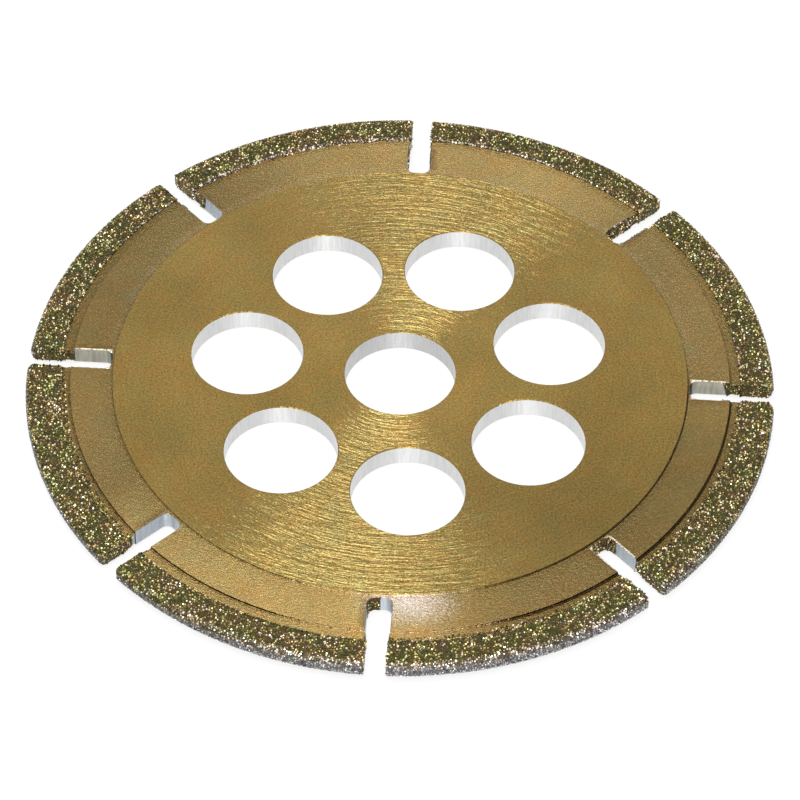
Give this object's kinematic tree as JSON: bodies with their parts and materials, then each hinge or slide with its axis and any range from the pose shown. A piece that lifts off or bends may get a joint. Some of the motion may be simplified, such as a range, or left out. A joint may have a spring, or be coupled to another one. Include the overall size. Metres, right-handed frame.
{
  "type": "diamond grooving blade",
  "caption": "Flat round blade with a thick hub, a stepped thin rim coated in coarse diamond grit, open slots in the rim and round holes around the arbor bore, for cutting grooves.",
  "frame": {"origin": "centre of the arbor bore, in the middle of the blade's thickness", "axes": "+Z along the bore axis, out of one of the two like faces; +X through the middle of the slot between segments 8 and 1"},
  "size_m": [0.1498, 0.1498, 0.0046],
  "materials": {
    "gold_steel": "turned steel with a thin gold-coloured coating",
    "diamond_grit": "coarse diamond grit held in plated nickel, rough and sparkling"
  },
  "bodies": {
    "root": {"steel_core": "gold_steel", "diamond_segment_1": "diamond_grit", "diamond_segment_2": "diamond_grit", "diamond_segment_3": "diamond_grit", "diamond_segment_4": "diamond_grit", "diamond_segment_5": "diamond_grit", "diamond_segment_6": "diamond_grit", "diamond_segment_7": "diamond_grit", "diamond_segment_8": "diamond_grit"}
  },
  "joints": []
}
